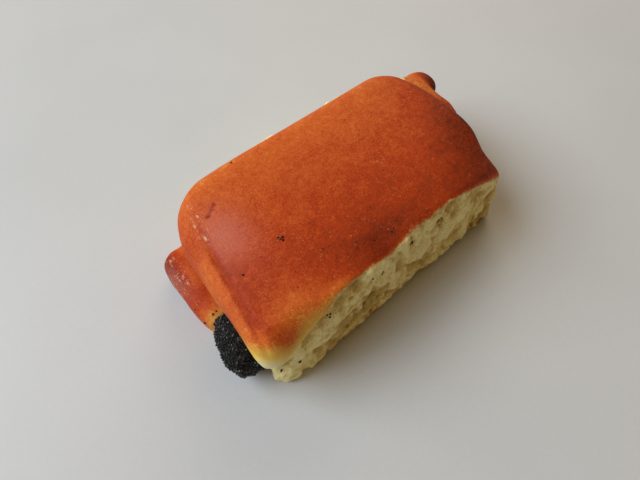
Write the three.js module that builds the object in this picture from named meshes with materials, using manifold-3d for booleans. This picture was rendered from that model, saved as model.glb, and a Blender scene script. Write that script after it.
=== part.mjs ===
// Poppy seed bun: one folded, glossy sweet bun, pulled from a row of buns baked side by side.
//
// Lengths are millimetres. +X runs along the bun, from the end where the filling shows to the
// browned far end, +Z is up, and the bun rests on the plane z = 0. Both long sides are torn,
// because the neighbours in the tray were joined to them. The origin is the middle of the
// underside of the bounding box.

import * as THREE from 'three';
import { mergeVertices } from 'three/addons/utils/BufferGeometryUtils.js';
import Module from 'manifold-3d';

const wasm = await Module();
wasm.setup();

// ---- Driving dimensions ----------------------------------------------------------------------

// The main body, without the folds at its two ends.
const BUN_LENGTH = 103;
const BUN_WIDTH = 63; // from torn side to torn side, half way along
const CROWN_HEIGHT = 36.5; // top of the crust above the underside
const WAIST_HEIGHT = 12; // height at which the body is widest
const UNDERCUT_DEPTH = 20; // how far the round of the sides would reach below the waist
const PLAN_POWER = 8.5; // squareness of the outline seen from above
const PROFILE_POWER = 4; // squareness of the cross-section
const BODY_CELLS = [26, 18, 11]; // mesh cells along, across and up

// How the body departs from a straight block.
const TAPER = 0.035; // how much narrower the far end is, and how much wider the near end
const SKEW = 0.13; // shift along X for each millimetre across the bun
const SKEW_GROWTH = 0.06; // how much more the far end slants than the near end
const NEAR_END_DROP = 1.5; // how much lower the crown is at the end with the filling
const FAR_END_DROP = 5; // how much lower it is at the far end
const CORNER_DROP = 7; // how much lower the crust is at the far torn corner

// Lumps of dough and filling: half sizes along X, Y and Z, squareness, and mesh cells.
// The folded edge of the dough overhangs the filling, and the tongue lies under it.
const FOLD = { reach: 10, halfWidth: 27.5, halfHeight: 8, power: 2.8, cells: [6, 20, 6] };
const TONGUE = { reach: 10, halfWidth: 16.5, halfHeight: 6.5, power: 2.9, cells: [8, 12, 6] };
const EAR = { reach: 8, halfWidth: 6.5, halfHeight: 5.5, power: 2.3, cells: [7, 7, 7] };

// The filling has oozed out as a bulge, and its root is what is still in the slit.
const BULGE = { reach: 8.5, halfWidth: 10, halfHeight: 9.6, power: 2.5, cells: [8, 9, 9] };
const ROOT = { reach: 10, halfWidth: 8.5, halfHeight: 7, power: 2.5, cells: [8, 8, 8] };
const BULGE_SLANT = 0.22; // shift of the bulge along X for each millimetre along Y
const BULGE_LIFT = 1.2; // gap between the bulge and the table
const FILLING_CLEARANCE = 0.3; // gap between the filling and the dough around it

// ---- Places of the lumps, from the ends of the body ---------------------------------------------

const NEAR_END = -BUN_LENGTH / 2;
const FAR_END = BUN_LENGTH / 2;

const FOLD_CENTRE = new THREE.Vector3(NEAR_END + 6.6, -2.5, 22.3);
const TONGUE_CENTRE = new THREE.Vector3(NEAR_END + 0.6, 11, TONGUE.halfHeight);
const EAR_CENTRE = new THREE.Vector3(FAR_END, 17.5, 22.5);
const BULGE_CENTRE = new THREE.Vector3(NEAR_END - 2.6, -15, BULGE.halfHeight + BULGE_LIFT);
const ROOT_CENTRE = new THREE.Vector3(NEAR_END + 4, -13.5, 12.5);

// ---- Shapes ------------------------------------------------------------------------------------

// Moves every vertex of a geometry with one function.
function reshape(geometry, move) {
  const position = geometry.getAttribute('position');
  const point = new THREE.Vector3();
  for (let i = 0; i < position.count; i += 1) {
    point.fromBufferAttribute(position, i);
    move(point);
    position.setXYZ(i, point.x, point.y, point.z);
  }
  return geometry;
}

// A cube of half size 1, rounded to a superellipsoid: power 2 gives a sphere, more is squarer.
function roundedBlock(planPower, profilePower, cells) {
  const block = new THREE.BoxGeometry(2, 2, 2, ...cells);
  block.deleteAttribute('normal');
  block.deleteAttribute('uv');
  return reshape(mergeVertices(block), (point) => {
    const across = Math.abs(point.x) ** planPower + Math.abs(point.y) ** planPower;
    const reach = across ** (profilePower / planPower) + Math.abs(point.z) ** profilePower;
    point.multiplyScalar(reach ** (-1 / profilePower));
  });
}

// The slant of the bun: its ends aren't square to its long sides.
function slant(point) {
  const along = point.x / (BUN_LENGTH / 2);
  point.x += point.y * (SKEW + SKEW_GROWTH * along);
}

// Presses whatever would reach below the table flat onto it.
function restOnTable(point) {
  point.z = Math.max(point.z, 0);
}

// The main body: a rounded block with a crowned top, lower at its ends and at one far corner.
function bodyGeometry() {
  return reshape(roundedBlock(PLAN_POWER, PROFILE_POWER, BODY_CELLS), (point) => {
    const { x: along, y: across, z: up } = point;
    const endDrop = along < 0 ? NEAR_END_DROP : FAR_END_DROP;
    const farCorner = Math.max(along, 0) ** 3 * Math.max(-across, 0) ** 2;
    const crown = CROWN_HEIGHT - endDrop * along ** 4 - CORNER_DROP * farCorner;
    point.x = along * (BUN_LENGTH / 2);
    point.y = across * (BUN_WIDTH / 2) * (1 - TAPER * along);
    point.z = WAIST_HEIGHT + up * (up > 0 ? crown - WAIST_HEIGHT : UNDERCUT_DEPTH);
    slant(point);
    restOnTable(point);
  });
}

// A lump at a centre. Growth makes it larger all round, to cut a clearance with.
function lumpGeometry(lump, centre, growth = 0) {
  const geometry = roundedBlock(lump.power, lump.power, lump.cells);
  geometry.scale(lump.reach + growth, lump.halfWidth + growth, lump.halfHeight + growth);
  geometry.translate(centre.x, centre.y, centre.z);
  return geometry;
}

function bulgeGeometry(growth) {
  return reshape(lumpGeometry(BULGE, BULGE_CENTRE, growth), (point) => {
    point.x += BULGE_SLANT * (point.y - BULGE_CENTRE.y);
  });
}

// ---- Solids ------------------------------------------------------------------------------------

function toSolid(geometry) {
  return new wasm.Manifold(new wasm.Mesh({
    numProp: 3,
    vertProperties: geometry.getAttribute('position').array,
    triVerts: new Uint32Array(geometry.getIndex().array),
  }));
}

function toGeometry(solid) {
  const mesh = solid.getMesh();
  const geometry = new THREE.BufferGeometry();
  geometry.setAttribute('position', new THREE.BufferAttribute(mesh.vertProperties, 3));
  geometry.setIndex(new THREE.BufferAttribute(mesh.triVerts, 1));
  geometry.computeVertexNormals();
  return geometry;
}

// The filling: the root left in the slit, joined to the bulge that has oozed out of it.
function fillingSolid(growth = 0) {
  return toSolid(lumpGeometry(ROOT, ROOT_CENTRE, growth)).add(toSolid(bulgeGeometry(growth)));
}

// The dough: one baked piece, with its folds, and with the slit that the filling lies in.
function doughSolid() {
  return toSolid(bodyGeometry())
    .add(toSolid(reshape(lumpGeometry(FOLD, FOLD_CENTRE), slant)))
    .add(toSolid(reshape(lumpGeometry(TONGUE, TONGUE_CENTRE), restOnTable)))
    .add(toSolid(lumpGeometry(EAR, EAR_CENTRE)))
    .subtract(fillingSolid(FILLING_CLEARANCE));
}

// ---- Assembly ----------------------------------------------------------------------------------

const doughMesh = new THREE.Mesh(
  toGeometry(doughSolid()),
  new THREE.MeshStandardMaterial({ color: 0xb4562b, roughness: 0.45, metalness: 0 }),
);
doughMesh.name = 'bun_dough';

const fillingMesh = new THREE.Mesh(
  toGeometry(fillingSolid()),
  new THREE.MeshStandardMaterial({ color: 0x16181a, roughness: 0.8, metalness: 0 }),
);
fillingMesh.name = 'poppy_seed_filling';

const bun = new THREE.Group();
bun.add(doughMesh, fillingMesh);

// The whole bun is shifted so that the middle of its bounding box stands over the origin.
const box = new THREE.Box3().setFromObject(bun);
const middle = box.getCenter(new THREE.Vector3());
bun.position.set(-middle.x, -middle.y, -box.min.z);

export default bun;
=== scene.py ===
import math

import bmesh
import bpy
import numpy as np
from bpy.props import FloatProperty, FloatVectorProperty, IntProperty, PointerProperty
from mathutils import Matrix, Vector
from mathutils.bvhtree import BVHTree


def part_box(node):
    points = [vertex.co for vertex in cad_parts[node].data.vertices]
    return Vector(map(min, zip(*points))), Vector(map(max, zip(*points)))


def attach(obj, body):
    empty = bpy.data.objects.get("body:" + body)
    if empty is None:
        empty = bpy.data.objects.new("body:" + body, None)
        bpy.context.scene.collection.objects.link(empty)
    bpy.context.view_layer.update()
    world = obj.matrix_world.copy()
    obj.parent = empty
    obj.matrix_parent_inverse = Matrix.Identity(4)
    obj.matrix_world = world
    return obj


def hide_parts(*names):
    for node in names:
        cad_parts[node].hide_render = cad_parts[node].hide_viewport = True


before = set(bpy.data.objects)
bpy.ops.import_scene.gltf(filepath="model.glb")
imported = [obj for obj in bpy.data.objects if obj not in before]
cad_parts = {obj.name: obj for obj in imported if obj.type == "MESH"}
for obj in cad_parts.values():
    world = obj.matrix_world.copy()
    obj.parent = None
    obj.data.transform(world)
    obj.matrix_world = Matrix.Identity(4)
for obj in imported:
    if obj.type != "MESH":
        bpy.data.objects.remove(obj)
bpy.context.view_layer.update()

bl_info = {
    "name": "Poppy Seed Bun",
    "version": (1, 0, 0),
    "blender": (4, 5, 0),
    "location": "View3D > Sidebar > Bun",
    "description": "Bakes a folded, pulled-apart sweet bun with a poppy seed filling",
    "category": "Object",
}

MM = 0.001
DOUGH_LOW, DOUGH_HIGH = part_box("bun_dough")
FILLING_LOW, FILLING_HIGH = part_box("poppy_seed_filling")


# Driving dimensions of the dough, in millimetres. X runs along the bun, from the near end with the
# filling to the far end; Y runs from the torn front to the torn back; Z is the height over the floor.
CROWN_TOP = 36.4
CROWN_MIDDLE_Y = 2.0
CROWN_HALF_WIDTH = 31.0
FRONT_SIDE = 30.7
BACK_SIDE = 31.6
NEAR_END = -52.6
CREASE = -48.2
CRUST_END = 47.2
FOLD_END = 54.8
FOLD_TOP = 28.6
FRONT_TEAR = 33.5
BACK_TEAR = 30.5
FILLING_GAP = 0.3

# The paste: its mesh step, how far it is drawn in to leave its seeds room, and its lowest height.
PASTE_STEP = 0.5
SEED_ROOM = 0.45
PASTE_BOTTOM = 0.52

# Rounded blocks that join the dough or are cut out of it: middle, half sizes and squareness.
TONGUE = ((-49.4, 9.9, 6.3), (9.5, 16.2, 6.6), 4.0)
EAR = ((51.4, 18.6, 22.9), (7.2, 6.1, 4.6), 2.3)
FOOT = ((-44.6, -26.1, 4.8), (4.3, 4.9, 6.8), 2.4)
HEEL = ((-39.4, -28.6, 2.6), (4.6, 4.0, 3.4), 2.4)
NOTCH = ((-43.0, -32.4, 1.0), (1.3, 2.4, 5.0), 2.0)

# The same for the filling: its bulge outside the slit, the shoulder by the tongue and the root inside.
BULGE = ((-53.4, -15.8, 10.4), (8.1, 8.5, 9.5), 2.3)
SHOULDER = ((-52.4, -10.0, 10.4), (5.4, 5.4, 8.0), 2.2)
ROOT = ((-46.5, -13.5, 12.5), (9.8, 8.3, 6.8), 2.5)

# Middle (x, y) of the first burst bubble in the crust, and the run from there to the second one.
BURST = (-41.4, 13.4)
BURST_RUN = (3.5, 2.2)

# How dark each part of the skin is baked before it varies: 0 is bare dough, 1 is nearly burnt.
CROWN_BAKE = 0.60
BACK_EDGE_BAKE = 0.24
SHELF_BAKE = 0.42
EAR_BAKE = 0.48
TONGUE_BAKE = 0.58
UNDERSIDE_BAKE = 0.70

# The smooth crust, which lies at least the margin away from the tears, gives up this share of its
# triangles.
CRUST_THINNING = 0.55
CRUST_MARGIN = 1.0

# How the seeds cover the paste: sizes are shares of the seed length, and none lies past Deepest X.
SEED_SPACING = 0.58 * MM
SEED_COVER = (
    ("Spacing", SEED_SPACING), ("Density", 3.0e6), ("Smallest", 0.7), ("Largest", 1.05),
    ("Deepest X", -46.0 * MM),
)

# Numbers that pick one random arrangement each.
PASTE_PICK = 4
STRAY_PICK = 8
COVER_PICK = 11
TURN_PICK = 5

# Where seeds have strayed, in millimetres: on the crust (x, y), and in small groups on the torn
# sides (x, z, how many). More lie round the slit and at the near end's front.
CRUST_SEEDS = (
    (-30.5, -6.5), (-30.8, -5.7), (-30.2, -7.3), (-29.7, -6.4),
    (-44.5, -8.0), (-25.0, 25.5), (-58.5, 3.5),
)
FRONT_SEEDS = (
    (13.5, 27.0, 5), (1.0, 26.5, 4), (-11.5, 25.5, 2),
    (-14.5, 26.5, 1), (-31.5, 26.0, 4), (-44.0, 12.0, 2),
)
BACK_SEEDS = ((-33.0, 22.0, 2), (-11.0, 26.0, 4), (8.0, 15.0, 1), (22.0, 24.0, 3))
SLIT_SEEDS = 30
END_SEEDS = 12

# How far out strays start, how far a group scatters along X and Z, how far they stand off the dough,
# and their sizes as shares of the seed length.
STRAY_START = 50.0
STRAY_SCATTER = (0.6, 0.35)
STRAY_LIFT = 0.08
STRAY_SIZES = (0.65, 0.95)

# Colours that no setting changes, as usual 0 to 255 screen values.
SPECK_COLOUR = (234, 142, 76)
# Painted highlight: the pinkish sheen mixed into the crust's colour.
PAINTED_SHEEN_COLOUR = (214, 130, 118)
# Paler blister skin with a painted highlight.
BLISTER_AND_HIGHLIGHT_COLOUR = (240, 178, 140)
# The palest crumb, reached where the painted highlight and painted light are strongest.
CRUMB_LIGHT_COLOUR = (255, 243, 180)
MIDDLE_SEED_COLOUR = (40, 41, 44)
WALL_COLOUR = (200, 199, 196)

# The stage, in metres: the floor's half width, and each light's width, colour and place.
FLOOR_HALF = 1.5
WINDOW_LIGHT = (1.12, (0.862, 0.942, 1.0), (-0.86, 0.66, 0.98))
FILL_LIGHT = (1.0, (1.0, 0.84, 0.60), (0.95, 0.85, 0.80))
ROOM_LIGHT = (1.0, 0.68, 0.31, 1.0)

# The camera: its place and lens in millimetres, and the side and height it looks from, in degrees.
CAMERA_PLACE = (-66.64, -66.48, 155.4)
CAMERA_SENSOR = 36.0
CAMERA_LENS = 28.125
CAMERA_AZIMUTH = -40.0
CAMERA_ELEVATION = 60.0


# ---- Grid fields: the bun is a rounded solid described by signed distances in millimetres ----


def ramp(value, start, end):
    """0 before start, 1 after end, and a smooth step between them."""
    t = np.clip((value - start) / (end - start), 0.0, 1.0)
    return t * t * (3.0 - 2.0 * t)


def hump(value, middle, width):
    """1 in the middle, fading to 0 on both sides over about the width."""
    return np.exp(-(((value - middle) / width) ** 2))


def round_max(a, b, radius):
    """Where both faces end: their edge, rounded to a radius."""
    inner = np.minimum(np.maximum(a, b), -radius)
    return inner + np.hypot(np.maximum(a + radius, 0.0), np.maximum(b + radius, 0.0))


def soft_min(a, b, blend):
    """Two solids joined, with the crease between them filled over the blend width."""
    h = np.maximum(blend - np.abs(a - b), 0.0) / blend
    return np.minimum(a, b) - h * h * blend * 0.25


def positive(value, blend):
    """The value where it is positive and nearly 0 elsewhere, with a soft turn."""
    return 0.5 * (value + np.sqrt(value**2 + blend**2))


def lump(x, y, z, centre, half, power):
    """Signed distance, nearly, to an oval block: power 2 is an ellipsoid, more is squarer."""
    u = np.abs((x - centre[0]) / half[0])
    v = np.abs((y - centre[1]) / half[1])
    w = np.abs((z - centre[2]) / half[2])
    reach = (u**power + v**power + w**power) ** (1.0 / power)
    return (reach - 1.0) * min(half)


def spline_weights(coordinates, spacing):
    """Matrix that spreads lattice values over coordinates with a cubic B-spline."""
    place = (coordinates - coordinates[0]) / spacing
    index = np.floor(place).astype(int)
    t = place - index
    weights = np.zeros((len(coordinates), index.max() + 4), np.float32)
    rows = np.arange(len(coordinates))
    weights[rows, index] = (1 - t) ** 3 / 6
    weights[rows, index + 1] = (3 * t**3 - 6 * t**2 + 4) / 6
    weights[rows, index + 2] = (-3 * t**3 + 3 * t**2 + 3 * t + 1) / 6
    weights[rows, index + 3] = t**3 / 6
    return weights


def grid_noise(axes, spacing, rng):
    """Smooth random field over the grid, mostly -1 to 1, with its grain size along each axis."""
    spreads = [spline_weights(axis, size) for axis, size in zip(axes, spacing)]
    lattice = rng.standard_normal([spread.shape[1] for spread in spreads]).astype(np.float32)
    for spread in spreads:
        lattice = np.tensordot(lattice, spread, axes=(0, 1))
    return lattice / lattice.std()


def surface_net(field, low, step):
    """Closed quad mesh over the zero level of a grid field."""
    inside = field < 0.0
    corners = np.array([(i, j, k) for i in (0, 1) for j in (0, 1) for k in (0, 1)])
    size = np.array(field.shape) - 1
    filled = np.zeros(size, np.int8)
    for i, j, k in corners:
        filled += inside[i : i + size[0], j : j + size[1], k : k + size[2]]
    cells = np.argwhere((filled > 0) & (filled < 8))
    number = np.full(size, -1, np.int32)
    number[tuple(cells.T)] = np.arange(len(cells))
    at = cells[:, None, :] + corners
    values = field[at[..., 0], at[..., 1], at[..., 2]]
    total = np.zeros((len(cells), 3))
    hits = np.zeros(len(cells))
    for a in range(8):
        for b in range(a + 1, 8):
            if np.abs(corners[a] - corners[b]).sum() != 1:
                continue
            crossed = (values[:, a] < 0.0) != (values[:, b] < 0.0)
            t = values[crossed, a] / (values[crossed, a] - values[crossed, b])
            total[crossed] += corners[a] + t[:, None] * (corners[b] - corners[a])
            hits[crossed] += 1
    points = low + step * (cells + total / hits[:, None])
    quads = []
    for axis in range(3):
        before = np.take(inside, range(size[axis]), axis)
        after = np.take(inside, range(1, size[axis] + 1), axis)
        edges = np.argwhere(before != after)
        u = np.eye(3, dtype=int)[(axis + 1) % 3]
        v = np.eye(3, dtype=int)[(axis + 2) % 3]
        around = np.stack([edges - u - v, edges - v, edges, edges - u], axis=1)
        quad = number[around[..., 0], around[..., 1], around[..., 2]]
        leaving = before[tuple(edges.T)]
        quads.append(np.where(leaving[:, None], quad, quad[:, ::-1]))
    return points, np.concatenate(quads)


def grid_sample(field, low, step, points):
    """Value of a grid field at any points, linear between the grid's own."""
    place = (points - low) / step
    index = np.clip(np.floor(place).astype(int), 0, np.array(field.shape) - 2)
    t = place - index
    value = np.zeros(len(points))
    for i in (0, 1):
        for j in (0, 1):
            for k in (0, 1):
                share = np.abs(1 - i - t[:, 0]) * np.abs(1 - j - t[:, 1]) * np.abs(1 - k - t[:, 2])
                value += share * field[index[:, 0] + i, index[:, 1] + j, index[:, 2] + k]
    return value


def evened(points, quads, field, low, step, rounds):
    """Spreads the net's points evenly and puts them back on the surface."""
    edges = np.concatenate([quads[:, [0, 1]], quads[:, [1, 2]], quads[:, [2, 3]], quads[:, [3, 0]]])
    neighbours = np.bincount(edges[:, 0], minlength=len(points))
    for _ in range(rounds):
        centre = np.stack(
            [np.bincount(edges[:, 0], points[edges[:, 1], a], len(points)) for a in range(3)], axis=1
        )
        points = 0.5 * points + 0.5 * centre / neighbours[:, None]
        slope = np.stack(
            [
                grid_sample(field, low, step, points + step * 0.5 * unit)
                - grid_sample(field, low, step, points - step * 0.5 * unit)
                for unit in np.eye(3)
            ],
            axis=1,
        ) / step
        steep = np.maximum((slope**2).sum(1), 0.25)
        level = grid_sample(field, low, step, points)
        points = points - slope * (level / steep)[:, None]
    return points


# ---- Shape of the bun ----


def filling_distance(x, y, z):
    """The poppy seed paste: a bulge outside the slit and its root inside, in millimetres."""
    leaned = x - 0.12 * (y + 16.0)
    outside = soft_min(lump(leaned, y, z, *BULGE), lump(x, y, z, *SHOULDER), 4.0)
    return soft_min(outside, lump(x, y, z, *ROOT), 2.0)


def side_faces(x, y, z):
    """Distances to the two torn sides, which draw in towards the top and just over the floor."""
    taper = 1.0 - 0.03 * x / 52.0
    front_inset = 2.7 * np.clip((z - 3.0) / 30.0, 0.0, 1.1) ** 1.2
    front_inset = front_inset + 1.2 * np.clip((3.0 - z) / 3.0, 0.0, 1.0) ** 2
    back_inset = 1.8 * np.clip((z - 6.0) / 24.0, 0.0, 1.2) ** 1.6
    back_inset = back_inset + 1.2 * np.clip((5.0 - z) / 5.0, 0.0, 1.0)
    bow = 0.4 * hump(x, 4.0, 12.0) - 0.4 * hump(x, -32.0, 5.0)
    return -y - FRONT_SIDE * taper + front_inset + bow, y - BACK_SIDE * taper + back_inset


def near_face(x, y, z):
    """Distance to the near end; below its fold it is set back for the slit, less so by the front corner."""
    slit = (4.6 - 2.9 * ramp(-y, 22.5, 28.0)) * (1.0 - ramp(z, 12.5, 17.5))
    bend = 0.023 * np.maximum(y - 12.0, 0.0) ** 2 + 0.02 * np.maximum(-20.0 - y, 0.0) ** 2
    return -x + NEAR_END + 0.07 * y + bend + slit


def near_crease(y):
    """Where the crease between the crust and the near fold runs, along X."""
    return CREASE + 0.145 * y


def shelf_edge(y):
    """Where the fold below the crust ends at the far end, along X."""
    slant = 0.50 * positive(4.0 - y, 5.0) - 0.64 * positive(-19.0 - y, 2.0) + 0.8 * ramp(y, 3.0, 9.0)
    return FOLD_END - slant - 0.012 * np.maximum(y - 12.0, 0.0) ** 2


def crust_edge(y):
    """Where the crust ends above that fold, along X; past the fold's end they are one."""
    own = CRUST_END - 0.0082 * np.maximum(y - 2.0, 0.0) ** 2
    return soft_min(own, shelf_edge(y), 1.0)


def crown_height(x, y):
    """Height of the crust before its edges are rounded."""
    across = np.abs((y - CROWN_MIDDLE_Y) / CROWN_HALF_WIDTH)
    near = np.clip((-x - 18.0) / 34.0, 0.0, 1.0)
    far = np.clip((x - 12.0) / 42.0, 0.0, 1.0)
    corner = np.clip((x - 15.0) / 38.0, 0.0, 1.0) ** 2 * np.clip((-y - 2.0) / 28.0, 0.0, 1.0) ** 1.5
    height = CROWN_TOP - 2.4 * across**2.5 - 3.4 * near**2 - 4.0 * far**2 - 14.0 * corner
    beside = x - near_crease(y)
    crease = hump(beside, 0.5, 0.9) * ramp(-y, -13.0, -2.0) * ramp(y, -31.0, -24.0)
    ridge = hump(beside, -2.4, 2.2) * ramp(-y, -22.0, 0.0)
    dip = hump(x, -10.0, 6.0) * ramp(-y, 18.0, 28.0)
    return height - 0.8 * crease + 0.55 * ridge - 1.0 * dip


def crust_cracks(x, y):
    """Depth of two small burst bubbles in the crust and the crack between them, 0 to 1."""
    run_x, run_y = BURST_RUN
    from_x, from_y = x - BURST[0], y - BURST[1]
    first = hump(np.hypot(from_x / 1.4, from_y / 0.8), 0.0, 0.6)
    second = hump(np.hypot(from_x - run_x, from_y - run_y), 0.0, 0.5)
    along = np.clip((from_x * run_x + from_y * run_y) / (run_x**2 + run_y**2), 0.0, 1.0)
    crack = hump(np.hypot(from_x - run_x * along, from_y - run_y * along), 0.0, 0.35)
    return np.maximum(np.maximum(first, 0.8 * second), 0.55 * crack)


def near_folds(x, y, z):
    """Where the skin of the near fold and the tongue is wrinkled, 0 to 1."""
    on_tongue = ramp(-x, 49.0, 52.0) * ramp(15.0 - z, 0.0, 2.0) * ramp(y, -6.0, 0.0)
    on_ridge = 0.6 * ramp(near_crease(y) + 2.0 - x, 0.0, 2.0) * ramp(z, 19.0, 23.0) * ramp(22.0 - y, 0.0, 6.0)
    return np.maximum(on_tongue, on_ridge)


def blister_share(x, y, z):
    """Where the crust has blistered: along the near crease and on the tongue's tip, 0 to 1."""
    along = hump(x - near_crease(y), 1.4, 1.7) * hump(y, 13.5, 8.0) * ramp(z, 20.0, 24.0)
    tip = hump(x, -57.0, 4.0) * hump(y, 17.0, 7.5) * ramp(z, 5.0, 9.0) * ramp(16.0 - z, 0.0, 2.0)
    return np.maximum(along, tip)


def painted_sheen_share(x, y, z):
    """Where a pinkish sheen is painted into the crust's colour and its roughness lowered: a patch by the near
    crease and the tongue's tip, 0 to 1.
    """
    patch = hump(x, -41.5, 6.5) * hump(y, 5.0, 9.0) * ramp(x - near_crease(y), 0.0, 3.0)
    tip = 0.7 * hump(x, -58.5, 2.4) * hump(y, 15.0, 7.0) * ramp(z, 4.0, 9.0) * ramp(16.0 - z, 0.0, 2.0)
    return np.maximum(patch, tip)


def dough_distance(x, y, z):
    """The smooth form of the whole baked dough, in millimetres."""
    front, back = side_faces(x, y, z)
    sides = np.maximum(front, back)
    near = near_face(x, y, z)
    to_back = ramp(y, 0.0, 15.0)
    corner_radius = 5.0 + (4.3 * to_back - 0.2) * ramp(-x, 20.0, 40.0)
    corner_radius = corner_radius + (6.5 * to_back - 2.5) * ramp(x, 20.0, 40.0)
    crust_end = x - crust_edge(y) + 0.05 * (z - 14.0) * ramp(-y, 5.0, 12.0)
    plan = round_max(sides, np.maximum(near, crust_end), corner_radius)
    to_front = ramp(-y, 2.0, 16.0)
    at_ends = 4.4 * to_front * ramp(-x, 26.0, 42.0) + (2.2 * to_front - 1.5) * ramp(x, 20.0, 45.0)
    edge_radius = 7.5 - 5.9 * to_front + at_ends
    crust = round_max(plan, z - crown_height(x, y), edge_radius)
    shelf_end = x - shelf_edge(y) + 0.05 * (z - 14.0)
    shelf_plan = round_max(np.maximum(front, back + 3.0), np.maximum(near, shelf_end), corner_radius)
    shelf = round_max(shelf_plan, z - FOLD_TOP + 0.10 * np.maximum(-y, 0.0), 4.5)
    body = soft_min(crust, shelf, 0.6)
    for block, blend in ((TONGUE, 1.2), (EAR, 1.2), (FOOT, 3.0), (HEEL, 2.0)):
        body = soft_min(body, lump(x, y, z, *block), blend)
    body = -soft_min(-body, lump(x, y, z, *NOTCH), 0.8)
    body = round_max(body, -z, 1.2)
    return np.maximum(body, FILLING_GAP - filling_distance(x, y, z))


def tear_lines(x):
    """Heights on the front and back at which the crust ends and the torn crumb begins."""
    near_fall = 0.62 * positive(-28.0 - x, 3.0)
    far_fall = 0.42 * positive(x - 21.0, 3.0)
    front_line = FRONT_TEAR - near_fall - far_fall - 1.5 * hump(x, -10.0, 5.0)
    return front_line, BACK_TEAR - 0.3 * near_fall - 0.2 * far_fall


def torn_depth(x, y, z):
    """How far a place lies inside the torn areas, in millimetres; negative on the crust."""
    front, back = side_faces(x, y, z)
    ends = np.maximum(near_face(x, y, z), x - shelf_edge(y))
    front_line, back_line = tear_lines(x)
    wrap = 2.0 + 3.0 * ramp(-x, 30.0, 45.0) * ramp(18.0 - z, 0.0, 3.0)
    on_front = np.minimum(front_line - z, (front - ends) + wrap)
    on_back = np.minimum(back_line - z, (back - ends) + 1.0)
    return np.where(front > back, on_front, on_back)


def crust_inward(x, y, z):
    """Distances on the crust from its torn front and back edges, in millimetres."""
    front, back = side_faces(x, y, z)
    front_line, back_line = tear_lines(x)
    from_front = np.hypot(np.maximum(z - front_line, 0.0), np.maximum(-front, 0.0))
    return from_front, np.hypot(np.maximum(z - back_line, 0.0), np.maximum(-back, 0.0))


def dough_axes(step):
    """Grid axes around the dough, in millimetres."""
    low = np.array(DOUGH_LOW) / MM - 5.0
    high = np.array(DOUGH_HIGH) / MM + 5.0
    low[2] = -2.0 * step
    return [np.arange(a, b, step, dtype=np.float32) for a, b in zip(low, high)]


def carve_bubbles(field, axes, centres, radii, stretch):
    """Cuts small oval holes, taller than wide, into a grid field."""
    step = axes[0][1] - axes[0][0]
    low = np.array([axis[0] for axis in axes])
    for centre, radius in zip(centres, radii):
        reach = radius * max(stretch) + 2.0 * step
        first = np.maximum(np.floor((centre - reach - low) / step).astype(int), 0)
        last = np.ceil((centre + reach - low) / step).astype(int)
        block = tuple(slice(a, b) for a, b in zip(first, last))
        near = np.meshgrid(*[axis[part] for axis, part in zip(axes, block)], indexing="ij", sparse=True)
        away = np.sqrt(sum(((n - c) / s) ** 2 for n, c, s in zip(near, centre, stretch)))
        field[block] = -soft_min(-field[block], away - radius, 0.35)


def crumb_relief(axes, x, z, rng):
    """How far the torn crumb lies below its smooth form: hollows, strands, creases and flakes."""
    hollow = ramp(grid_noise(axes, (13.0, 13.0, 9.0), rng), -0.4, 1.2) * hump(z, 14.0, 8.0)
    broad = grid_noise(axes, (6.0, 6.0, 4.5), rng)
    strands = grid_noise(axes, (1.5, 1.8, 3.6), rng)
    creases = np.abs(grid_noise(axes, (2.6, 3.0, 5.0), rng))
    flakes = np.abs(grid_noise(axes, (2.0, 2.0, 1.6), rng))
    fine = grid_noise(axes, (0.9, 0.9, 1.1), rng)
    low_down = hump(z, 0.0, 7.0)
    lumps = 0.28 * broad + 0.22 * strands - 0.25 * creases + 0.22 * flakes
    hollow += 1.8 * hump(x, -37.0, 3.5) * hump(z, 10.0, 3.5)
    return 0.15 + 0.45 * hollow + (1.0 - 0.7 * low_down) * lumps + (0.16 + 0.10 * low_down) * fine


def dough_mesh(step, bubbles, seed):
    """Points, faces and surface measures of the dough, with its torn sides roughened."""
    rng = np.random.default_rng(seed)
    axes = dough_axes(step)
    low = np.array([axis[0] for axis in axes])
    x, y, z = np.meshgrid(*axes, indexing="ij", sparse=True)
    smooth = dough_distance(x, y, z)
    wobble = 0.35 * grid_noise(axes, (8.0, 8.0, 8.0), rng) + 0.14 * grid_noise(axes, (2.0, 2.0, 2.0), rng)
    torn = torn_depth(x, y, z) + wobble
    mask = ramp(torn, -0.2, 0.9)
    swell = grid_noise(axes, (16.0, 14.0, 12.0), np.random.default_rng(seed + 1))
    wrinkles = 0.09 * grid_noise(axes, (2.0, 3.2, 2.0), np.random.default_rng(seed + 2)) * near_folds(x, y, z)
    cracks = crust_cracks(x, y) * ramp(z, 20.0, 25.0)
    skin_relief = 0.15 * swell + 0.5 * cracks + wrinkles
    relief = mask * crumb_relief(axes, x, z, rng) + (1.0 - mask) * skin_relief
    underside = ramp(-np.maximum(*side_faces(x, y, z)), 1.5, 3.5) * ramp(3.0 - z, 0.0, 1.5)
    field = smooth + relief * (1.0 - underside)
    open_crumb = np.argwhere((np.abs(field) < 0.5 * step) & (torn > 0.8) & (z > 0.8))
    chosen = open_crumb[rng.integers(0, len(open_crumb), bubbles)]
    centres = low + step * chosen + rng.uniform(-0.2, 0.2, (len(chosen), 3))
    radii = 0.2 + 0.16 * rng.gamma(1.3, 1.0, len(chosen)).clip(0.0, 4.0)
    carve_bubbles(field, axes, centres, radii, (0.9, 0.8, 1.4))
    field = np.maximum(field, -z)
    points, quads = surface_net(field, low, step)
    points = evened(points, quads, field, low, step, 2)
    return points, quads, lambda places: grid_sample(torn, low, step, places)


def add_object(name, data):
    """A new object in the scene, at the origin."""
    item = bpy.data.objects.new(name, data)
    bpy.context.scene.collection.objects.link(item)
    return item


def new_piece(name, points, faces, material):
    """Mesh object at the origin, from points in millimetres."""
    mesh = bpy.data.meshes.new(name)
    mesh.from_pydata((points * MM).tolist(), [], faces.tolist())
    mesh.shade_smooth()
    mesh.materials.append(material)
    return add_object(name, mesh)


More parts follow.
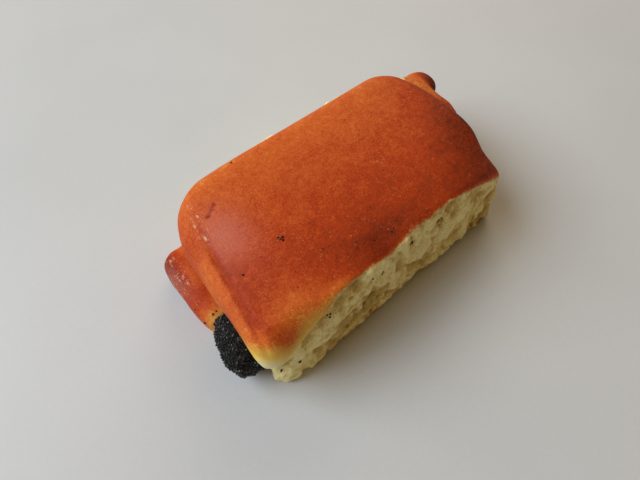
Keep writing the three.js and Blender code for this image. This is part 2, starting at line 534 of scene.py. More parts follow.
def add_measure(mesh, name, values):
    """A number for each point of a mesh, which its material reads."""
    layer = mesh.attributes.new(name, "FLOAT", "POINT")
    layer.data.foreach_set("value", np.asarray(values, np.float32))


def underside_share(z):
    """Where the bun lay on its tin and has a thin brown skin again, 0 to 1."""
    return ramp(0.9 - z, 0.0, 0.6)


def painted_crumb_light_and_shade(x, y, z):
    """How much paler the crumb is painted by the near front corner, as painted light; below 0, darker, as
    painted shade just over the floor.
    """
    by_tip = ramp(-x, 30.0, 47.0) * ramp(-y, 14.0, 22.0)
    return by_tip * ramp(19.0 - z, 0.0, 9.0) - 1.1 * ramp(4.0 - z, 0.0, 4.0) * (1.0 - by_tip)


def toward(level, goal, share):
    """A level moved a share of the way to a goal."""
    return level + (goal - level) * share


def bake_and_painted_light_level(x, y, z):
    """How dark each point is: 0 is bare dough, 1 is nearly burnt; mostly baking, with some painted light and
    shade.
    """
    from_front, from_back = crust_inward(x, y, z)
    band = ramp(near_crease(y) - x, -0.6, 1.6) * ramp(z, 12.0, 18.0)
    # The crown: paler to the back, darker at the far end and along the front.
    level = CROWN_BAKE - 0.0058 * np.maximum(y, -14.0)
    level += 0.19 * ramp(x - 0.3 * y, 22.0, 46.0) * (1.0 - 0.55 * ramp(-y, 10.0, 24.0))
    level += 0.05 * ramp(-y, 16.0, 22.0) * ramp(x, -25.0, -10.0)
    level += 0.09 * hump(y, -22.0, 6.0) * hump(x, -7.0, 11.0)
    # The crease, with painted shade, and the fold at the near end; paler skin towards the near front corner,
    # partly painted light.
    # Painted shade: darker just beside the near crease.
    painted_crease_shade = hump(x - near_crease(y), 1.4, 1.0) * ramp(-y, -20.0, -8.0) * (1.0 - 0.7 * ramp(-y, 2.0, 14.0))
    level += 0.10 * painted_crease_shade * (1.0 - band)
    fresh = 0.165 - 0.21 * ramp(y, -2.0, 10.0) + 0.10 * ramp(-y, 10.0, 22.0) + 0.05 * ramp(24.0 - z, 0.0, 5.0)
    # Painted light: the patches at the near front corner lighten the skin over the shade where the crust
    # rolls over there.
    level -= band * fresh + 0.20 * hump(x, -39.0, 9.0) * hump(y, -23.0, 7.0) * (1.0 - band)
    level -= 0.16 * hump(x, -42.0, 7.0) * hump(y, -28.0, 4.0) * (1.0 - band)
    # Lighter along both torn edges, partly painted light at the near end, and bare at the near front corner's
    # tip.
    pale_edge_and_painted_light_width = 2.0 + 5.5 * ramp(-x, 15.0, 38.0) + 1.6 * ramp(x, 22.0, 44.0)
    pale_edge_and_painted_light_bake = 0.42 - 0.24 * ramp(-x, 18.0, 40.0)
    level = toward(pale_edge_and_painted_light_bake, level, ramp(from_front, 0.0, pale_edge_and_painted_light_width))
    level = toward(BACK_EDGE_BAKE, level, ramp(from_back, -0.5, 3.8))
    from_tip = 0.55 * (x + 51.5) + 0.67 * (y + 28.0) + 0.5 * (z - 20.0)
    level = soft_min(level, 0.055 * from_tip + 0.03, 0.08)
    # The shelf and the ear at the far end, then the tongue, the burst bubbles and the underside.
    on_shelf = ramp(x - crust_edge(y), 0.2, 1.4) * ramp(y, -12.0, -6.0)
    level = toward(level, SHELF_BAKE + 0.22 * ramp(-y, -12.0, 0.0), on_shelf)
    # Painted shade: darker in the groove where the crust meets the shelf.
    level += 0.2 * hump(x - crust_edge(y), 0.0, 0.7) * ramp(y, -6.0, 0.0) * ramp(z, 20.0, 24.0)
    level += 0.2 * hump(x - crust_edge(y), -1.2, 2.2) * hump(y, -6.0, 5.0) * ramp(z, 20.0, 24.0)
    on_ear = ramp(x - shelf_edge(y), -2.0, 0.5) * ramp(y, 9.0, 13.0) * ramp(z, 15.0, 17.0)
    level = toward(level, EAR_BAKE + 0.42 * ramp(0.77 * x - 0.64 * y, 25.0, 33.0), on_ear)
    on_tongue = ramp(-x, 50.5, 53.0) * ramp(15.5 - z, 0.0, 2.0) * ramp(y, -9.0, -5.0)
    tongue = TONGUE_BAKE + 0.21 * ramp(-x, 53.5, 57.5) * ramp(y, 6.0, 14.0) + 0.06 * ramp(y, 12.0, 20.0)
    # Painted highlight: a lighter patch on the tongue.
    tongue -= 0.12 * hump(x, -53.0, 1.6) * hump(y, 11.0, 6.0)
    # Painted shade in a crease along the tongue; paler towards the filling.
    tongue += 0.10 * hump(y, 6.5, 2.5) - 0.28 * ramp(-y, -3.0, 5.0)
    level = toward(level, tongue, on_tongue)
    level += 0.45 * crust_cracks(x, y) * ramp(z, 20.0, 25.0)
    patchy = 0.06 * np.sin(0.31 * x + 1.7 * np.sin(0.23 * y)) * np.sin(0.27 * y + 1.3 * np.sin(0.19 * x))
    level = toward(level, UNDERSIDE_BAKE + patchy, underside_share(z))
    return np.clip(level, 0.0, 1.0)


# ---- Materials ----


def linear(red, green, blue):
    """A colour picked in the usual 0 to 255 screen values, as Blender's linear light."""
    channels = [c / 255.0 for c in (red, green, blue)]
    return tuple(c / 12.92 if c <= 0.04045 else ((c + 0.055) / 1.055) ** 2.4 for c in channels) + (1.0,)


class Nodes:
    """Short ways to add and join the nodes of one tree."""

    def __init__(self, tree):
        self.tree = tree

    def add(self, kind, values=None, **settings):
        """A new node, with its settings and the values of its inputs."""
        node = self.tree.nodes.new(kind)
        for name, setting in settings.items():
            setattr(node, name, setting)
        self.fill(node.inputs, values or {})
        return node

    def fill(self, inputs, values):
        """Joins a socket to each input, or sets it to a plain number, colour or material."""
        for name, value in values.items():
            if isinstance(value, bpy.types.NodeSocket):
                self.tree.links.new(value, inputs[name])
            elif value is not None:
                inputs[name].default_value = value

    def math(self, operation, *values, clamp=False):
        """One sum on sockets or plain numbers."""
        node = self.add("ShaderNodeMath", dict(enumerate(values)), operation=operation, use_clamp=clamp)
        return node.outputs[0]

    def times(self, a, b):
        """Two values multiplied."""
        return self.math("MULTIPLY", a, b)

    def plus(self, base, pattern, amount, clamp=False):
        """The base with an amount of a pattern added."""
        return self.math("MULTIPLY_ADD", pattern, amount, base, clamp=clamp)

    def centred(self, pattern):
        """A pattern of 0 to 1, moved to vary round 0."""
        return self.math("SUBTRACT", pattern, 0.5)

    def mix(self, share, a, b):
        """Colour a turned into colour b by a share."""
        node = self.add("ShaderNodeMix", {"Factor": share, "A": a, "B": b}, data_type="RGBA")
        return node.outputs["Result"]

    def range(self, value, start, end, low=0.0, high=1.0):
        """A smooth step from low, at the start, to high, at the end."""
        values = {"Value": value, "From Min": start, "From Max": end, "To Min": low, "To Max": high}
        return self.add("ShaderNodeMapRange", values, interpolation_type="SMOOTHSTEP").outputs["Result"]

    def place(self):
        """The object's own coordinates."""
        return self.add("ShaderNodeTexCoord").outputs["Object"]

    def measure(self, name):
        """One of the numbers that add_measure left on the mesh."""
        return self.add("ShaderNodeAttribute", attribute_name=name).outputs["Fac"]

    def noise(self, scale, detail, roughness, distortion=0.0):
        """Cloudy pattern of 0 to 1, with its scale per metre."""
        values = {"Scale": scale, "Detail": detail, "Roughness": roughness, "Distortion": distortion}
        return self.add("ShaderNodeTexNoise", {"Vector": self.place(), **values}).outputs["Fac"]

    def cells(self, scale):
        """Cells, so many per metre, each with its own colour."""
        return self.add("ShaderNodeTexVoronoi", {"Vector": self.place(), "Scale": scale}).outputs

    def first_channel(self, colour):
        """A colour's red, as one random number for each cell."""
        return self.add("ShaderNodeSeparateColor", {"Color": colour}).outputs["Red"]

    def spots(self, group, place=None, **numbers):
        """Mask of scattered spots; the numbers are the group's inputs, such as per_metre."""
        values = {name.replace("_", " ").title(): number for name, number in numbers.items()}
        values["Place"] = place or self.place()
        return self.add("ShaderNodeGroup", values, node_tree=group).outputs["Mask"]

    def colours(self, value, stops):
        """A value turned into a colour, by stops of position and colour."""
        node = self.add("ShaderNodeValToRGB", {"Fac": value})
        elements = node.color_ramp.elements
        while len(elements) < len(stops):
            elements.new(0.5)
        for element, (position, colour) in zip(elements, stops):
            element.position = position
            element.color = colour
        return node.outputs["Color"]

    def bump(self, height, strength, distance, normal=None):
        """Normals that show a height as relief, on top of any normals given."""
        values = {"Height": height, "Strength": strength, "Distance": distance, "Normal": normal}
        return self.add("ShaderNodeBump", values).outputs["Normal"]


def new_material(name):
    """A material, a way to add its nodes, and its surface's inputs."""
    material = bpy.data.materials.new(name)
    material.use_nodes = True
    nodes = Nodes(material.node_tree)
    return material, nodes, material.node_tree.nodes["Principled BSDF"].inputs


def spots_group():
    """Shader group: scattered round spots, each of its own size, as a mask from 0 to 1."""
    tree = bpy.data.node_groups.new("spots", "ShaderNodeTree")
    face = tree.interface
    face.new_socket("Place", in_out="INPUT", socket_type="NodeSocketVector")
    for name, default in (("Per Metre", 250.0), ("Largest", 0.2), ("Edge", 0.05), ("Rarity", 3.0)):
        socket = face.new_socket(name, in_out="INPUT", socket_type="NodeSocketFloat")
        socket.default_value = default
    face.new_socket("Mask", in_out="OUTPUT", socket_type="NodeSocketFloat")
    nodes = Nodes(tree)
    given = nodes.add("NodeGroupInput").outputs
    values = {"Vector": given["Place"], "Scale": given["Per Metre"]}
    cells = nodes.add("ShaderNodeTexVoronoi", values).outputs
    luck = nodes.math("POWER", nodes.first_channel(cells["Color"]), given["Rarity"])
    reach = nodes.times(luck, given["Largest"])
    inner = nodes.math("SUBTRACT", reach, given["Edge"])
    nodes.add("NodeGroupOutput", {"Mask": nodes.range(cells["Distance"], reach, inner)})
    return tree


def crust_colour(nodes, settings, spots):
    """Baked skin: colour, roughness and height, mottled, speckled and blistered, with a painted sheen and
    painted highlights on its blisters.
    """
    blotches = nodes.noise(140.0, 3.0, 0.55)
    mottle = nodes.noise(560.0, 4.0, 0.62, distortion=0.7)
    grain = nodes.noise(1700.0, 3.0, 0.65)
    pits = nodes.spots(spots, per_metre=260.0, largest=0.16, edge=0.07, rarity=6.0)
    clusters = nodes.range(nodes.noise(170.0, 4.0, 0.6, distortion=0.5), 0.47, 0.62)
    pale = nodes.spots(spots, per_metre=1500.0, largest=0.55, edge=0.35, rarity=0.9)
    pale = nodes.times(pale, clusters)
    specks = nodes.spots(spots, per_metre=900.0, largest=0.36, edge=0.15, rarity=2.2)
    specks = nodes.times(specks, nodes.range(blotches, 0.45, 0.6))
    level = nodes.measure("bake_and_painted_light")
    unevenness = nodes.range(level, 0.1, 0.55, 0.3, 1.0)
    for pattern, amount in ((blotches, 0.18), (mottle, 0.28), (grain, 0.42)):
        level = nodes.plus(level, nodes.times(nodes.centred(pattern), unevenness), amount)
    level = nodes.plus(level, specks, 0.20)
    level = nodes.plus(level, pits, 0.17, clamp=True)
    stops = zip((0.0, 0.14, 0.42, 0.64, 1.0), (
        settings.bare_colour, settings.yellow_colour, settings.orange_colour,
        settings.chestnut_colour, settings.burnt_colour,
    ))
    colour = nodes.colours(level, [(position, tuple(colour)) for position, colour in stops])
    painted_sheen = nodes.measure("painted_sheen")
    colour = nodes.mix(nodes.times(pale, 0.46), colour, linear(*SPECK_COLOUR))
    # Painted highlight: a pinkish sheen mixed into the colour.
    colour = nodes.mix(nodes.times(painted_sheen, 0.45), colour, linear(*PAINTED_SHEEN_COLOUR))
    skin = nodes.plus(nodes.times(mottle, 0.5), grain, 0.5)
    skin = nodes.plus(skin, pale, 0.35)
    skin = nodes.plus(skin, pits, -0.8)
    roughness = nodes.plus(0.48, mottle, 0.25)
    roughness = nodes.plus(roughness, painted_sheen, -0.1)

    stretched = nodes.add("ShaderNodeMapping", {"Vector": nodes.place(), "Scale": (1.0, 0.5, 1.0)})
    round_spots = {"largest": 0.6, "edge": 0.3, "rarity": 1.0}
    large = nodes.spots(spots, stretched.outputs["Vector"], per_metre=850.0, **round_spots)
    small = nodes.spots(spots, per_metre=1500.0, **round_spots)
    blisters = nodes.math("MAXIMUM", large, small)
    blisters = nodes.times(blisters, nodes.range(nodes.measure("blister"), 0.2, 0.6))
    # Blisters painted paler and pinker: partly paler blister skin, partly painted highlight.
    colour = nodes.mix(nodes.times(blisters, 0.62), colour, linear(*BLISTER_AND_HIGHLIGHT_COLOUR))
    roughness = nodes.plus(roughness, blisters, -0.15)
    skin = nodes.plus(skin, blisters, 1.4)
    return colour, roughness, skin


def crumb_colour(nodes, settings):
    """Torn crumb: painted highlight where it stands out, painted shade in its hollows, finely mottled."""
    grain = nodes.noise(1500.0, 3.0, 0.6)
    matted = nodes.noise(620.0, 4.0, 0.68, distortion=1.2)
    patches = nodes.noise(210.0, 3.0, 0.55)
    # Painted shade and highlight: darker where the crumb lies below its smooth form, paler where it stands
    # out.
    tone = nodes.range(nodes.measure("relief"), -2.4, 0.4)
    for pattern, amount in ((grain, 0.7), (matted, 0.85), (patches, 0.45)):
        tone = nodes.plus(tone, nodes.centred(pattern), amount)
    # Painted light by the near front corner and painted shade just over the floor.
    tone = nodes.plus(tone, nodes.measure("pale"), 0.95, clamp=True)
    shade, pale = tuple(settings.crumb_shade_colour), tuple(settings.crumb_colour)
    colour = nodes.colours(tone, ((0.0, shade), (0.72, pale), (1.0, linear(*CRUMB_LIGHT_COLOUR))))
    return colour, nodes.plus(nodes.times(matted, 0.7), grain, 0.3)


def dough_material(settings):
    """Skin and torn crumb in one material, with a frayed border between them."""
    material, nodes, shader = new_material("baked dough")
    crust, roughness, skin = crust_colour(nodes, settings, spots_group())
    crumb, crumb_height = crumb_colour(nodes, settings)
    fray = nodes.centred(nodes.noise(900.0, 3.0, 0.6))
    share = nodes.range(nodes.plus(nodes.measure("torn"), fray, 1.6), -0.6, 0.6)
    skin_bump = nodes.bump(nodes.times(skin, nodes.math("SUBTRACT", 1.0, share)), 0.6, 0.3 * MM)
    nodes.fill(shader, {
        "Base Color": nodes.mix(share, crust, crumb),
        "Roughness": nodes.math("MAXIMUM", roughness, nodes.times(share, 0.95)),
        "Specular IOR Level": 0.18,
        "Normal": nodes.bump(nodes.times(crumb_height, share), 0.7, 0.7 * MM, skin_bump),
    })
    return material


def paste_material(settings):
    """Nearly black, grainy and dull."""
    material, nodes, shader = new_material("poppy paste")
    grain = nodes.noise(1400.0, 3.0, 0.6)
    nodes.fill(shader, {
        "Base Color": nodes.colours(grain, ((0.3, linear(0, 0, 0)), (0.7, tuple(settings.paste_colour)))),
        "Roughness": 0.6,
        "Specular IOR Level": 0.25,
        "Normal": nodes.bump(grain, 0.8, 0.6 * MM),
    })
    return material


def seed_material(settings):
    """Mostly black, a few seeds grey, with a fine net of ridges."""
    material, nodes, shader = new_material("poppy seed")
    one = nodes.first_channel(nodes.cells(1000.0)["Color"])
    patch = nodes.noise(450.0, 2.0, 0.5)
    tone = nodes.plus(one, nodes.centred(patch), 0.4)
    dark, light = tuple(settings.seed_colour), tuple(settings.pale_seed_colour)
    stops = ((0.60, dark), (0.80, linear(*MIDDLE_SEED_COLOUR)), (0.94, light))
    nodes.fill(shader, {
        "Base Color": nodes.colours(tone, stops),
        "Roughness": 0.3,
        "Specular IOR Level": 0.4,
        "Normal": nodes.bump(nodes.cells(3200.0)["Distance"], 1.0, 0.15 * MM),
    })
    return material


def floor_material(settings):
    """Plain and pale, very slightly cloudy."""
    material, nodes, shader = new_material("pale floor")
    cloud = nodes.noise(14.0, 3.0, 0.5)
    speck = nodes.noise(700.0, 3.0, 0.6)
    tone = nodes.plus(cloud, nodes.centred(speck), 0.5)
    colour = tuple(settings.floor_colour)
    darker = tuple(0.93 * channel for channel in colour[:3]) + (1.0,)
    stops = ((0.25, darker), (0.75, colour))
    nodes.fill(shader, {"Base Color": nodes.colours(tone, stops), "Roughness": 0.55})
    return material


# ---- Poppy seeds, placed by geometry nodes ----


def kidney_seed(name, length, material):
    """One poppy seed: a small bean with a dent in one side."""
    mesh = bpy.data.meshes.new(name)
    shape = bmesh.new()
    bmesh.ops.create_uvsphere(shape, u_segments=7, v_segments=5, radius=0.5)
    for vertex in shape.verts:
        x, y, z = vertex.co
        dent = 0.32 * math.exp(-((x / 0.22) ** 2)) * max(y, 0.0)
        vertex.co = Vector((x, 0.78 * y - dent - 0.35 * x * x, 0.72 * z)) * length
    bmesh.ops.recalc_face_normals(shape, faces=shape.faces)
    shape.to_mesh(mesh)
    shape.free()
    mesh.shade_smooth()
    mesh.materials.append(material)
    return add_object(name, mesh)


def seed_tree(material):
    """Geometry nodes: covers a surface, up to a depth along X, with seeds turned at random."""
    tree = bpy.data.node_groups.new("cover with seeds", "GeometryNodeTree")
    face = tree.interface
    face.new_socket("Geometry", in_out="INPUT", socket_type="NodeSocketGeometry")
    face.new_socket("Seed Shape", in_out="INPUT", socket_type="NodeSocketObject")
    for name, default in SEED_COVER:
        socket = face.new_socket(name, in_out="INPUT", socket_type="NodeSocketFloat")
        socket.default_value = default
    face.new_socket("Geometry", in_out="OUTPUT", socket_type="NodeSocketGeometry")
    nodes = Nodes(tree)
    given = nodes.add("NodeGroupInput").outputs
    place = nodes.add("GeometryNodeInputPosition").outputs["Position"]
    depth = nodes.add("ShaderNodeSeparateXYZ", {"Vector": place}).outputs["X"]
    outside = nodes.add(
        "FunctionNodeCompare", {0: depth, 1: given["Deepest X"]}, data_type="FLOAT", operation="LESS_THAN"
    )
    spread = nodes.add(
        "GeometryNodeDistributePointsOnFaces",
        {
            "Mesh": given["Geometry"],
            "Selection": outside.outputs["Result"],
            "Distance Min": given["Spacing"],
            "Density Max": given["Density"],
            "Seed": COVER_PICK,
        },
        distribute_method="POISSON",
    )
    turns = {"Max": (math.tau, math.tau, math.tau), "Seed": TURN_PICK}
    sizes = {"Min": given["Smallest"], "Max": given["Largest"]}
    copies = nodes.add("GeometryNodeInstanceOnPoints", {
        "Points": spread.outputs["Points"],
        "Instance": nodes.add("GeometryNodeObjectInfo", {"Object": given["Seed Shape"]}).outputs["Geometry"],
        "Rotation": nodes.add("FunctionNodeRandomValue", turns, data_type="FLOAT_VECTOR").outputs["Value"],
        "Scale": nodes.add("FunctionNodeRandomValue", sizes, data_type="FLOAT").outputs["Value"],
    })
    real = nodes.add("GeometryNodeRealizeInstances", {"Geometry": copies.outputs["Instances"]})
    seeds = {"Geometry": real.outputs["Geometry"], "Material": material}
    finish = nodes.add("GeometryNodeSetMaterial", seeds)
    nodes.add("NodeGroupOutput", {"Geometry": finish.outputs["Geometry"]})
    return tree


def plain_copy(source, name):
    """The evaluated mesh of an object, as a new plain object at the origin."""
    graph = bpy.context.evaluated_depsgraph_get()
    mesh = bpy.data.meshes.new_from_object(source.evaluated_get(graph))
    mesh.name = name
    return add_object(name, mesh)


# ---- Settings ----


def colour_setting(name, description, red, green, blue):
    """A colour a user can change, with its default as usual 0 to 255 screen values."""
    return FloatVectorProperty(
        name=name, description=description, subtype="COLOR", size=4, min=0.0, max=1.0,
        default=linear(red, green, blue),
    )


def length_setting(name, description, default, least, most):
    """A length a user can change, in metres."""
    return FloatProperty(
        name=name, description=description, default=default, min=least, max=most,
        precision=5, unit="LENGTH",
    )


class BunDoughSettings(bpy.types.PropertyGroup):
    """What the dough is like"""

    mesh_step: length_setting(
        "Mesh Step", "Size of the grid cells that the dough is meshed on", 0.5 * MM, 0.4 * MM, 2.0 * MM
    )
    bubbles: IntProperty(
        name="Bubbles", description="How many small holes the torn crumb has", default=650, min=0, max=5000,
    )
    crumb_seed: IntProperty(
        name="Crumb Seed", description="Picks another random torn surface", default=20, min=0,
    )
    bare_colour: colour_setting("Bare", "Skin that the oven has hardly touched", 244, 234, 190)
    yellow_colour: colour_setting("Yellow", "Skin just turning", 246, 212, 96)
    orange_colour: colour_setting("Orange", "Lightly baked skin", 214, 103, 38)
    chestnut_colour: colour_setting("Chestnut", "Well baked skin", 180, 60, 12)
    burnt_colour: colour_setting("Burnt", "The darkest skin", 58, 20, 12)
    crumb_colour: colour_setting("Crumb", "Torn crumb in the light", 221, 192, 116)
    # Painted shade: the crumb's hollows are darkened towards this colour.
    crumb_shade_colour: colour_setting("Crumb Hollows", "Torn crumb in its hollows", 138, 102, 42)


class BunFillingSettings(bpy.types.PropertyGroup):
    """What the poppy seed filling is like"""

    seed_length: length_setting("Seed Length", "Length of one poppy seed", 1.0 * MM, 0.5 * MM, 2.0 * MM)
    spacing: length_setting(
        "Seed Spacing", "Least distance between two seeds on the paste", SEED_SPACING, 0.4 * MM, 3.0 * MM
    )
    paste_colour: colour_setting("Paste", "The paste between the seeds", 12, 10, 10)
    seed_colour: colour_setting("Seed", "Most of the seeds", 1, 1, 2)
    pale_seed_colour: colour_setting("Pale Seed", "The few grey seeds", 104, 104, 102)


class BunStageSettings(bpy.types.PropertyGroup):
    """What the bun is shown on and lit with"""

    floor_colour: colour_setting("Floor", "The plain floor", 211, 214, 219)
    window_power: FloatProperty(
        name="Window Power", description="Power of the large soft light", default=21.8, min=0.0, unit="POWER",
    )
    fill_power: FloatProperty(
        name="Fill Power", description="Power of the weak light from behind",
        default=6.0, min=0.0, unit="POWER",
    )
    room_strength: FloatProperty(
        name="Room", description="Strength of the warm light that the room throws back", default=0.2, min=0.0,
    )


# ---- Operators ----


class BUN_OT_dough(bpy.types.Operator):
    """Shape and bake the dough, with its folds, crust and torn sides"""

    bl_idname = "bun.dough"
    bl_label = "Bake Dough"

    def execute(self, context):
        settings = context.scene.bun_dough
        points, quads, torn_at = dough_mesh(settings.mesh_step / MM, settings.bubbles, settings.crumb_seed)
        block = new_piece("dough_block", points, quads, dough_material(settings))
        smooth_part = np.nonzero(torn_at(points) < -CRUST_MARGIN)[0]
        block.vertex_groups.new(name="crust").add(smooth_part.tolist(), 1.0, "REPLACE")
        thinner = block.modifiers.new("thinner crust", "DECIMATE")
        thinner.ratio = 1.0 - CRUST_THINNING * len(smooth_part) / len(points)
        thinner.vertex_group = "crust"
        piece = plain_copy(block, "bun_crust_and_crumb")
        bpy.data.objects.remove(block)
        if not piece.data.polygons:
            raise RuntimeError("the dough came out empty")
        places = np.empty(len(piece.data.vertices) * 3)
        piece.data.vertices.foreach_get("co", places)
        places = places.reshape(-1, 3) / MM
        x, y, z = places.T
        torn = torn_at(places)
        add_measure(piece.data, "torn", toward(torn, -CRUST_MARGIN, underside_share(z)))
        for name, measured in (
            ("relief", dough_distance), ("bake_and_painted_light", bake_and_painted_light_level), ("blister", blister_share),
            ("painted_sheen", painted_sheen_share), ("pale", painted_crumb_light_and_shade),
        ):
            add_measure(piece.data, name, measured(x, y, z))
        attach(piece, "root")
        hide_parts("bun_dough")
        return {"FINISHED"}


class BUN_OT_filling(bpy.types.Operator):
    """Fill the slit with poppy seed paste and cover it with seeds"""

    bl_idname = "bun.filling"
    bl_label = "Add Filling"

    def execute(self, context):
        settings = context.scene.bun_filling
        rng = np.random.default_rng(PASTE_PICK)
        low = np.array(FILLING_LOW) / MM - 3.0
        high = np.array(FILLING_HIGH) / MM + 3.0
        axes = [np.arange(a, b, PASTE_STEP, dtype=np.float32) for a, b in zip(low, high)]
        x, y, z = np.meshgrid(*axes, indexing="ij", sparse=True)
        lumps = 0.45 * grid_noise(axes, (4.0, 4.0, 4.0), rng) + 0.3 * grid_noise(axes, (1.7, 1.7, 1.7), rng)
        field = np.maximum(filling_distance(x, y, z) + SEED_ROOM + lumps, PASTE_BOTTOM - z)
        points, quads = surface_net(field, low, PASTE_STEP)
        paste = new_piece("poppy_paste", points, quads, paste_material(settings))
        material = seed_material(settings)
        seed = kidney_seed("one_seed", settings.seed_length, material)
        cover = add_object("seed_cover", paste.data)
        modifier = cover.modifiers.new("seeds", "NODES")
        modifier.node_group = seed_tree(material)
        inputs = {item.name: item.identifier for item in modifier.node_group.interface.items_tree}
        for name, number in SEED_COVER:
            modifier[inputs[name]] = number
        modifier[inputs["Seed Shape"]] = seed
        modifier[inputs["Spacing"]] = settings.spacing
        seeds = plain_copy(cover, "poppy_seeds")
        bpy.data.objects.remove(cover)
        bpy.data.objects.remove(seed)
        if not seeds.data.polygons:
            raise RuntimeError("no seeds were spread over the paste")
        for piece in (paste, seeds):
            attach(piece, "root")
            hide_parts("poppy_seed_filling")
        return {"FINISHED"}


def stray_drops(rng):
    """Where each stray seed starts, in millimetres, and the way it moves until it meets the dough."""
    down, inward, outward = Vector((0, 0, -1)), Vector((0, 1, 0)), Vector((0, -1, 0))
    drops = [((x, y, STRAY_START), down) for x, y in CRUST_SEEDS]
    along, upward = STRAY_SCATTER
    for groups, side, way in ((FRONT_SEEDS, -STRAY_START, inward), (BACK_SEEDS, STRAY_START, outward)):
        for x, z, count in groups:
            for _ in range(count):
                drops.append(((x + rng.normal(0.0, along), side, z + rng.normal(0.0, upward)), way))
    for _ in range(SLIT_SEEDS):
        drops.append(((rng.uniform(-59.0, -52.0), rng.normal(-5.0, 1.5), 15.5), down))
    for _ in range(END_SEEDS):
        drops.append(((-65.0, rng.uniform(-29.0, -22.0), rng.uniform(10.0, 17.0)), Vector((1, 0, 0))))
    return drops


class BUN_OT_strays(bpy.types.Operator):
    """Drop the few seeds that have strayed onto the crust, the torn sides and round the slit"""

    bl_idname = "bun.strays"
    bl_label = "Drop Stray Seeds"

    def execute(self, context):
        dough = bpy.data.objects.get("bun_crust_and_crumb")
        material = bpy.data.materials.get("poppy seed")
        if dough is None or material is None:
            raise RuntimeError("bake the dough and add the filling first")
        rng = np.random.default_rng(STRAY_PICK)
        ground = BVHTree.FromObject(dough, context.evaluated_depsgraph_get())
        seed = kidney_seed("one_seed", context.scene.bun_filling.seed_length, material)
        shape = bmesh.new()
        for start, way in stray_drops(rng):
            place, normal, _, _ = ground.ray_cast(Vector(start) * MM, way)
            if place is None:
                continue
            lean = normal.to_track_quat("Z", "Y").to_matrix().to_4x4()
            turn = Matrix.Rotation(rng.uniform(0.0, math.tau), 4, "Z")
            size = Matrix.Scale(rng.uniform(*STRAY_SIZES), 4)
            one = seed.data.copy()
            one.transform(Matrix.Translation(place + normal * STRAY_LIFT * MM) @ lean @ turn @ size)
            shape.from_mesh(one)
            bpy.data.meshes.remove(one)
        mesh = bpy.data.meshes.new("stray_poppy_seeds")
        shape.to_mesh(mesh)
        shape.free()
        mesh.shade_smooth()
        mesh.materials.append(material)
        piece = add_object("stray_poppy_seeds", mesh)
        bpy.data.objects.remove(seed)
        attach(piece, "root")
        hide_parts("poppy_seed_filling")
        return {"FINISHED"}


def hang_light(name, power, size, colour, place):
    """A square soft light, aimed at the middle of the floor."""
    light = bpy.data.lights.new(name, "AREA")
    light.shape = "RECTANGLE"
    light.size = size
    light.size_y = size
    light.energy = power
    light.color = colour
    lamp = add_object(name, light)
    lamp.location = place
    lamp.rotation_euler = (-lamp.location).to_track_quat("-Z", "Y").to_euler()


def light_room(strength):
    """Dim warm light from all round; the camera sees it as a pale wall."""
    world = bpy.data.worlds.new("room")
    world.use_nodes = True
    nodes = Nodes(world.node_tree)
    warm = world.node_tree.nodes["Background"]
    nodes.fill(warm.inputs, {"Color": ROOM_LIGHT, "Strength": strength})
    wall = nodes.add("ShaderNodeBackground", {"Color": linear(*WALL_COLOUR)})
    seen = nodes.add("ShaderNodeLightPath").outputs["Is Camera Ray"]
    both = nodes.add("ShaderNodeMixShader", {0: seen, 1: warm.outputs[0], 2: wall.outputs[0]})
    nodes.fill(world.node_tree.nodes["World Output"].inputs, {"Surface": both.outputs[0]})
    return world


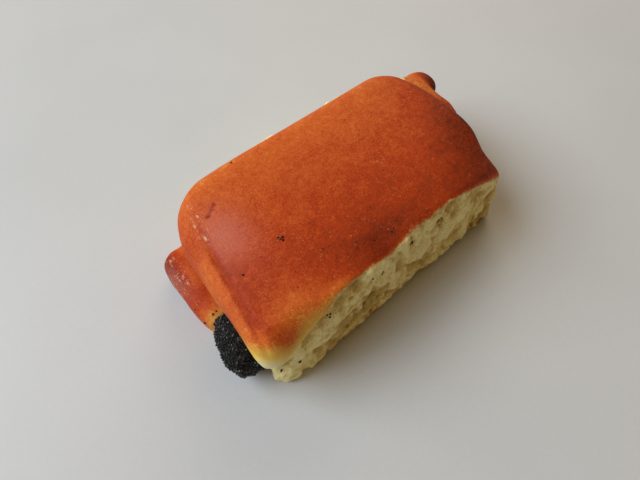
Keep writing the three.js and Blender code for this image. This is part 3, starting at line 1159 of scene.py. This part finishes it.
class BUN_OT_stage(bpy.types.Operator):
    """Lay the floor, hang the lights and aim the camera"""

    bl_idname = "bun.stage"
    bl_label = "Set Stage"

    def execute(self, context):
        settings = context.scene.bun_stage
        floor_mesh = bpy.data.meshes.new("floor")
        corners = [(x * FLOOR_HALF, y * FLOOR_HALF, 0.0) for x, y in ((-1, -1), (1, -1), (1, 1), (-1, 1))]
        floor_mesh.from_pydata(corners, [], [(0, 1, 2, 3)])
        floor_mesh.materials.append(floor_material(settings))
        floor = add_object("floor", floor_mesh)
        hang_light("window", settings.window_power, *WINDOW_LIGHT)
        hang_light("fill", settings.fill_power, *FILL_LIGHT)
        context.scene.world = light_room(settings.room_strength)
        context.scene.view_settings.view_transform = "Standard"

        lens = bpy.data.cameras.new("camera")
        lens.sensor_width = CAMERA_SENSOR
        lens.lens = CAMERA_LENS
        camera = add_object("camera", lens)
        azimuth, elevation = math.radians(CAMERA_AZIMUTH), math.radians(CAMERA_ELEVATION)
        back = Vector((
            math.sin(azimuth) * math.cos(elevation),
            -math.cos(azimuth) * math.cos(elevation),
            math.sin(elevation),
        ))
        camera.location = Vector(CAMERA_PLACE) * MM
        camera.rotation_euler = back.to_track_quat("Z", "Y").to_euler()
        context.scene.camera = camera
        return {"FINISHED"}


class BUN_PT_panel(bpy.types.Panel):
    """The bun's operators and settings, in the 3D view's sidebar"""

    bl_idname = "BUN_PT_panel"
    bl_label = "Poppy Seed Bun"
    bl_space_type = "VIEW_3D"
    bl_region_type = "UI"
    bl_category = "Bun"

    def draw(self, context):
        scene = context.scene
        for settings, operators in (
            (scene.bun_stage, ("bun.stage",)),
            (scene.bun_filling, ("bun.filling", "bun.strays")),
            (scene.bun_dough, ("bun.dough",)),
        ):
            box = self.layout.box()
            for name in settings.__annotations__:
                box.prop(settings, name)
            for operator in operators:
                box.operator(operator)


CLASSES = (
    BunDoughSettings,
    BunFillingSettings,
    BunStageSettings,
    BUN_OT_stage,
    BUN_OT_filling,
    BUN_OT_dough,
    BUN_OT_strays,
    BUN_PT_panel,
)


def register():
    for cls in CLASSES:
        bpy.utils.register_class(cls)
    bpy.types.Scene.bun_dough = PointerProperty(type=BunDoughSettings)
    bpy.types.Scene.bun_filling = PointerProperty(type=BunFillingSettings)
    bpy.types.Scene.bun_stage = PointerProperty(type=BunStageSettings)


def unregister():
    del bpy.types.Scene.bun_stage
    del bpy.types.Scene.bun_filling
    del bpy.types.Scene.bun_dough
    for cls in reversed(CLASSES):
        bpy.utils.unregister_class(cls)


def main():
    """Builds the scene, piece by piece."""
    register()
    bpy.ops.bun.stage()
    bpy.ops.bun.filling()
    bpy.ops.bun.dough()
    bpy.ops.bun.strays()


if __name__ == "__main__":
    main()
